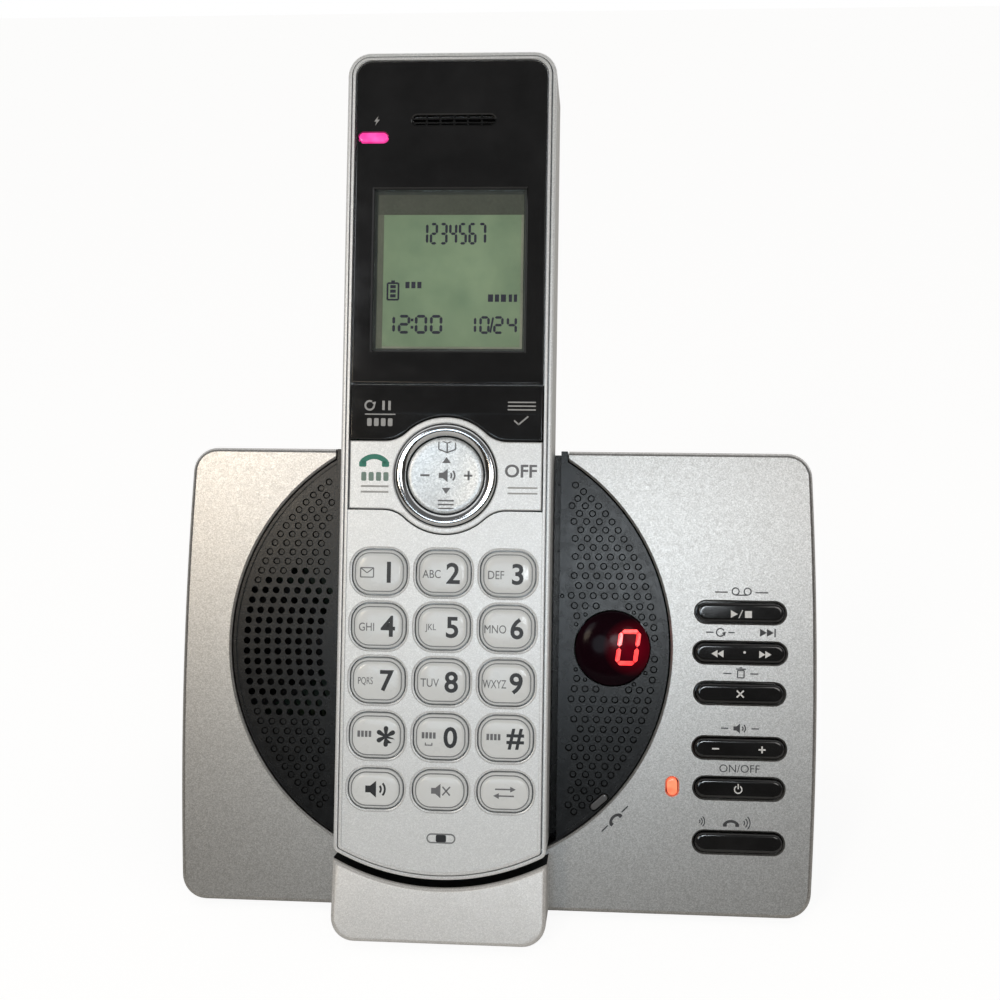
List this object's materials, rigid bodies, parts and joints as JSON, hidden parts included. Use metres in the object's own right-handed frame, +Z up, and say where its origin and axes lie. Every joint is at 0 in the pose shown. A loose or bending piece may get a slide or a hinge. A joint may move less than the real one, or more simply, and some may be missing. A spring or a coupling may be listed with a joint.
{
  "type": "answering machine with cordless handset",
  "caption": "Digital answering machine: silver tilted face, round black insert with speaker grille and message counter, control buttons, and a cordless handset standing in its charging cradle.",
  "frame": {"origin": "centre of the bounding box's bottom, on the surface the feet stand on", "axes": "+Z up, the face looks towards -Y and leans back 22 degrees, +X to the viewer's right"},
  "size_m": [0.1406, 0.0948, 0.1787],
  "materials": {
    "silver_paint": "satin metallic silver paint on plastic",
    "pearl_plastic": "pearl silver, satin",
    "black_plastic": "fine grained charcoal",
    "gloss_black": "piano black",
    "chrome": "bright plating",
    "key_plastic": "clear-coated light silver",
    "rubber": "matt black",
    "membrane_rubber": "matt grey silicone",
    "circuit_board": "green board",
    "steel": "plated",
    "nickel": "nickel plated spring metal",
    "paper_cone": "black paper",
    "dark_red_lens": "dark red, clear and glossy",
    "battery_wrap": "plastic sleeve",
    "orange_light": "lit orange-red lens",
    "grey_light": "unlit grey lens",
    "clear_window": "clear window",
    "lcd_green": "grey-green display",
    "pink_light": "lit magenta lens"
  },
  "bodies": {
    "base": {"front_cover": "silver_paint", "cradle_panel": "black_plastic", "charge_contacts": "nickel", "rear_housing": "black_plastic", "foot_front_left": "rubber", "foot_rear_left": "rubber", "foot_front_right": "rubber", "foot_rear_right": "rubber", "body_screw_left": "steel", "body_screw_right": "steel", "line_jack": "black_plastic", "power_jack": "black_plastic", "main_board": "circuit_board", "button_board": "circuit_board", "button_membrane": "membrane_rubber", "display_lens": "dark_red_lens", "display_module": "gloss_black", "answer_light": "orange_light", "in_use_light": "grey_light", "speaker_basket": "steel", "speaker_cone": "paper_cone"},
    "handset": {"handset_shell": "silver_paint", "handset_frame": "pearl_plastic", "handset_faceplate": "gloss_black", "lcd_window": "clear_window", "lcd_module": "lcd_green", "charge_light": "pink_light", "nav_ring": "chrome", "keypad_membrane": "membrane_rubber", "handset_board": "circuit_board", "earpiece": "steel", "battery_pack": "battery_wrap", "battery_cover": "silver_paint", "charge_strips": "nickel", "handset_screw_top": "steel", "handset_screw_bottom": "steel"},
    "play_stop": {"play_stop_button": "gloss_black"},
    "delete": {"delete_button": "gloss_black"},
    "answer": {"answer_button": "gloss_black"},
    "find_handset": {"find_handset_button": "gloss_black"},
    "repeat_skip": {"repeat_skip_rocker": "gloss_black"},
    "volume": {"volume_rocker": "gloss_black"},
    "key_1": {"key_1": "key_plastic"},
    "key_2": {"key_2": "key_plastic"},
    "key_3": {"key_3": "key_plastic"},
    "key_4": {"key_4": "key_plastic"},
    "key_5": {"key_5": "key_plastic"},
    "key_6": {"key_6": "key_plastic"},
    "key_7": {"key_7": "key_plastic"},
    "key_8": {"key_8": "key_plastic"},
    "key_9": {"key_9": "key_plastic"},
    "key_star": {"key_star": "key_plastic"},
    "key_0": {"key_0": "key_plastic"},
    "key_hash": {"key_hash": "key_plastic"},
    "key_speaker": {"key_speaker": "key_plastic"},
    "key_mute": {"key_mute": "key_plastic"},
    "key_intercom": {"key_intercom": "key_plastic"},
    "soft_keys": {"soft_key_band": "gloss_black"},
    "talk_off": {"talk_off_band": "pearl_plastic"},
    "navigation": {"nav_pad": "pearl_plastic"}
  },
  "joints": [
    {"name": "handset_lift", "type": "slide", "parent": "base", "child": "handset", "axis": [0, 0.3746, 0.9272], "range_m": [0, 0.115]},
    {"name": "play_stop_press", "type": "slide", "parent": "base", "child": "play_stop", "axis": [0, 0.9272, -0.3746], "range_m": [0, 0.0008], "stiffness_N_per_m": 300},
    {"name": "delete_press", "type": "slide", "parent": "base", "child": "delete", "axis": [0, 0.9272, -0.3746], "range_m": [0, 0.0008], "stiffness_N_per_m": 300},
    {"name": "answer_press", "type": "slide", "parent": "base", "child": "answer", "axis": [0, 0.9272, -0.3746], "range_m": [0, 0.0008], "stiffness_N_per_m": 300},
    {"name": "find_handset_press", "type": "slide", "parent": "base", "child": "find_handset", "axis": [0, 0.9272, -0.3746], "range_m": [0, 0.0008], "stiffness_N_per_m": 300},
    {"name": "repeat_skip_rock", "type": "hinge", "parent": "base", "child": "repeat_skip", "pos_m": [0.0536, -0.01022, 0.05378], "axis": [0, 0.3746, 0.9272], "range_deg": [-3, 3], "stiffness_Nm_per_rad": 0.03},
    {"name": "volume_rock", "type": "hinge", "parent": "base", "child": "volume", "pos_m": [0.0536, -0.01797, 0.03459], "axis": [0, 0.3746, 0.9272], "range_deg": [-3, 3], "stiffness_Nm_per_rad": 0.03},
    {"name": "key_1_press", "type": "slide", "parent": "handset", "child": "key_1", "axis": [0, 0.9272, -0.3746], "range_m": [0, 0.0007], "stiffness_N_per_m": 300},
    {"name": "key_2_press", "type": "slide", "parent": "handset", "child": "key_2", "axis": [0, 0.9272, -0.3746], "range_m": [0, 0.0007], "stiffness_N_per_m": 300},
    {"name": "key_3_press", "type": "slide", "parent": "handset", "child": "key_3", "axis": [0, 0.9272, -0.3746], "range_m": [0, 0.0007], "stiffness_N_per_m": 300},
    {"name": "key_4_press", "type": "slide", "parent": "handset", "child": "key_4", "axis": [0, 0.9272, -0.3746], "range_m": [0, 0.0007], "stiffness_N_per_m": 300},
    {"name": "key_5_press", "type": "slide", "parent": "handset", "child": "key_5", "axis": [0, 0.9272, -0.3746], "range_m": [0, 0.0007], "stiffness_N_per_m": 300},
    {"name": "key_6_press", "type": "slide", "parent": "handset", "child": "key_6", "axis": [0, 0.9272, -0.3746], "range_m": [0, 0.0007], "stiffness_N_per_m": 300},
    {"name": "key_7_press", "type": "slide", "parent": "handset", "child": "key_7", "axis": [0, 0.9272, -0.3746], "range_m": [0, 0.0007], "stiffness_N_per_m": 300},
    {"name": "key_8_press", "type": "slide", "parent": "handset", "child": "key_8", "axis": [0, 0.9272, -0.3746], "range_m": [0, 0.0007], "stiffness_N_per_m": 300},
    {"name": "key_9_press", "type": "slide", "parent": "handset", "child": "key_9", "axis": [0, 0.9272, -0.3746], "range_m": [0, 0.0007], "stiffness_N_per_m": 300},
    {"name": "key_star_press", "type": "slide", "parent": "handset", "child": "key_star", "axis": [0, 0.9272, -0.3746], "range_m": [0, 0.0007], "stiffness_N_per_m": 300},
    {"name": "key_0_press", "type": "slide", "parent": "handset", "child": "key_0", "axis": [0, 0.9272, -0.3746], "range_m": [0, 0.0007], "stiffness_N_per_m": 300},
    {"name": "key_hash_press", "type": "slide", "parent": "handset", "child": "key_hash", "axis": [0, 0.9272, -0.3746], "range_m": [0, 0.0007], "stiffness_N_per_m": 300},
    {"name": "key_speaker_press", "type": "slide", "parent": "handset", "child": "key_speaker", "axis": [0, 0.9272, -0.3746], "range_m": [0, 0.0007], "stiffness_N_per_m": 300},
    {"name": "key_mute_press", "type": "slide", "parent": "handset", "child": "key_mute", "axis": [0, 0.9272, -0.3746], "range_m": [0, 0.0007], "stiffness_N_per_m": 300},
    {"name": "key_intercom_press", "type": "slide", "parent": "handset", "child": "key_intercom", "axis": [0, 0.9272, -0.3746], "range_m": [0, 0.0007], "stiffness_N_per_m": 300},
    {"name": "soft_keys_rock", "type": "hinge", "parent": "handset", "child": "soft_keys", "pos_m": [-0.0104, -0.00117, 0.1074], "axis": [0, 0.3746, 0.9272], "range_deg": [-1.5, 1.5], "stiffness_Nm_per_rad": 0.06},
    {"name": "talk_off_rock", "type": "hinge", "parent": "handset", "child": "talk_off", "pos_m": [-0.0104, -0.00705, 0.09284], "axis": [0, 0.3746, 0.9272], "range_deg": [-1.5, 1.5], "stiffness_Nm_per_rad": 0.06},
    {"name": "navigation_rock", "type": "hinge", "parent": "handset", "child": "navigation", "pos_m": [-0.0104, -0.00724, 0.09292], "axis": [1, 0, 0], "range_deg": [-2.5, 2.5], "stiffness_Nm_per_rad": 0.06}
  ]
}
